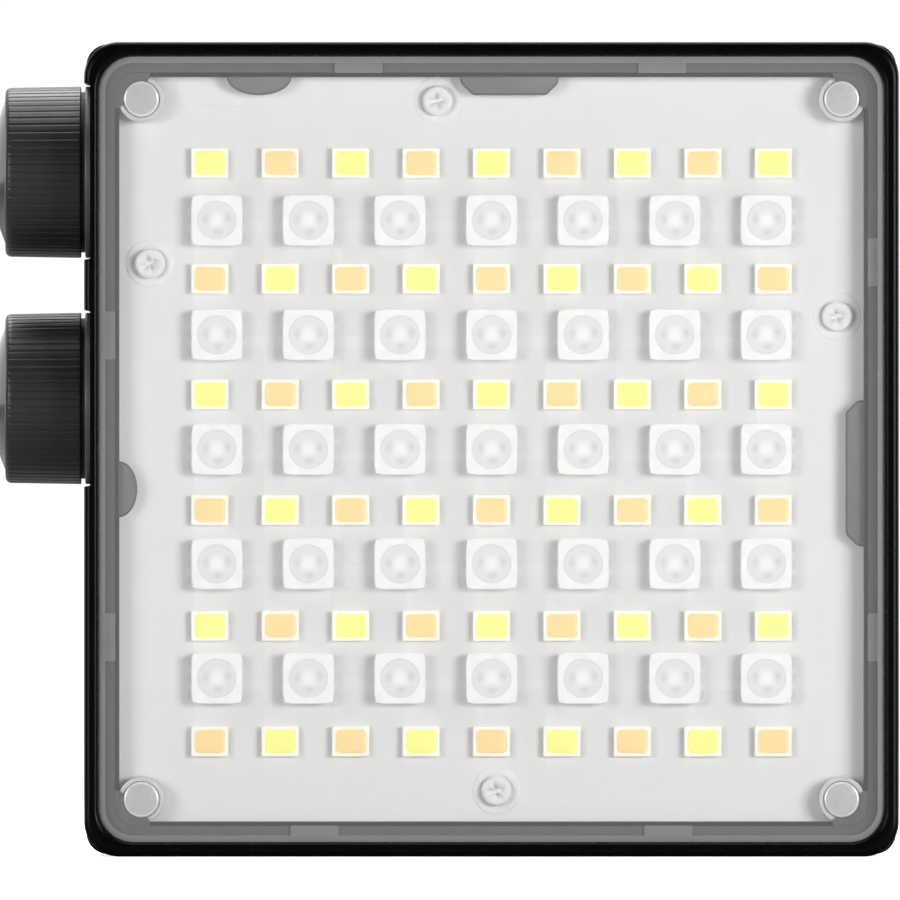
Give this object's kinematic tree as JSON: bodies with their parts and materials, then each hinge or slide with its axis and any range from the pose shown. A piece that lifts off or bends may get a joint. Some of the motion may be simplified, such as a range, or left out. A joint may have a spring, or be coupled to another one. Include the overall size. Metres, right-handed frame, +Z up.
{
  "type": "pocket rgb led light panel",
  "caption": "Square pocket LED light panel with a clear front cover over a white board of LEDs, and knurled push-and-turn dials on its left side.",
  "frame": {"origin": "centre of the overall box on the underside that the light stands on", "axes": "+Z up; -Y the way the light shines; +X to the right seen from the front, away from the dials"},
  "size_m": [0.091, 0.026, 0.0815],
  "materials": {
    "black_shell": "fine moulded texture, satin",
    "clear_plastic": "clear moulded plate, polished",
    "dark_frame": "satin moulded",
    "white_board": "white solder mask, satin, with white and cream LED packages",
    "white_screw": "white, satin",
    "black_screw": "blackened steel",
    "magnet_nickel": "satin nickel plate",
    "grey_pad": "soft grey silicone",
    "plate_aluminium": "rolled, satin",
    "green_board": "green solder mask",
    "battery_wrap": "blue shrink film",
    "cream_plastic": "moulded nylon",
    "red_lead": "red silicone",
    "black_lead": "black silicone",
    "amber_film": "amber polyimide film",
    "bright_steel": "bright drawn steel",
    "black_moulding": "moulded",
    "display_glass": "dark glass",
    "button_black": "satin moulded",
    "switch_steel": "nickel-plated steel",
    "insert_brass": "turned brass",
    "dial_black": "black, finely knurled, satin",
    "cap_gloss": "glossy dark dome",
    "seat_grey": "satin dark grey"
  },
  "bodies": {
    "light": {"housing": "black_shell", "rear_cover": "black_shell", "front_cover": "clear_plastic", "display_window": "clear_plastic", "chassis": "dark_frame", "led_board": "white_board", "board_screw_1": "white_screw", "board_screw_2": "white_screw", "board_screw_3": "white_screw", "board_screw_4": "white_screw", "rear_screw_1": "black_screw", "rear_screw_2": "black_screw", "rear_screw_3": "black_screw", "rear_screw_4": "black_screw", "corner_magnet_1": "magnet_nickel", "corner_magnet_2": "magnet_nickel", "corner_magnet_3": "magnet_nickel", "corner_magnet_4": "magnet_nickel", "thermal_pad": "grey_pad", "heat_plate": "plate_aluminium", "control_board": "green_board", "encoder_board": "green_board", "battery_pack": "battery_wrap", "battery_connector": "cream_plastic", "battery_lead_red": "red_lead", "battery_lead_black": "black_lead", "led_ribbon": "amber_film", "usb_c_shell": "bright_steel", "dial_1_bush": "bright_steel", "dial_2_bush": "bright_steel", "usb_c_tongue": "black_moulding", "display_holder": "black_moulding", "dial_1_encoder": "black_moulding", "dial_2_encoder": "black_moulding", "display_module": "display_glass", "power_switch": "switch_steel", "mode_switch": "switch_steel", "dial_1_nut": "switch_steel", "dial_2_nut": "switch_steel", "tripod_insert": "insert_brass", "dial_1_seat": "seat_grey", "dial_2_seat": "seat_grey"},
    "dial_1_push": {"dial_1_plunger": "cream_plastic"},
    "dial_1_turn": {"dial_1_shaft": "bright_steel", "dial_1_knob": "dial_black", "dial_1_cap": "cap_gloss"},
    "dial_2_push": {"dial_2_plunger": "cream_plastic"},
    "dial_2_turn": {"dial_2_shaft": "bright_steel", "dial_2_knob": "dial_black", "dial_2_cap": "cap_gloss"},
    "power_key": {"power_button": "button_black"},
    "mode_key": {"mode_button": "button_black"}
  },
  "joints": [
    {"name": "dial_1_press", "type": "slide", "parent": "light", "child": "dial_1_push", "axis": [1, 0, 0], "range_m": [0, 0.0003], "stiffness_N_per_m": 4000, "springref_m": -0.0002},
    {"name": "dial_1_rotate", "type": "hinge", "parent": "dial_1_push", "child": "dial_1_turn", "pos_m": [-0.0394, 0.00115, 0.06855], "axis": [-1, 0, 0], "continuous": true},
    {"name": "dial_2_press", "type": "slide", "parent": "light", "child": "dial_2_push", "axis": [1, 0, 0], "range_m": [0, 0.0003], "stiffness_N_per_m": 4000, "springref_m": -0.0002},
    {"name": "dial_2_rotate", "type": "hinge", "parent": "dial_2_push", "child": "dial_2_turn", "pos_m": [-0.0394, 0.00115, 0.04585], "axis": [-1, 0, 0], "continuous": true},
    {"name": "power_button_press", "type": "slide", "parent": "light", "child": "power_key", "axis": [0, -1, 0], "range_m": [0, 0.00025], "stiffness_N_per_m": 4000, "springref_m": -0.0001},
    {"name": "mode_button_press", "type": "slide", "parent": "light", "child": "mode_key", "axis": [0, -1, 0], "range_m": [0, 0.00025], "stiffness_N_per_m": 4000, "springref_m": -0.0001}
  ]
}
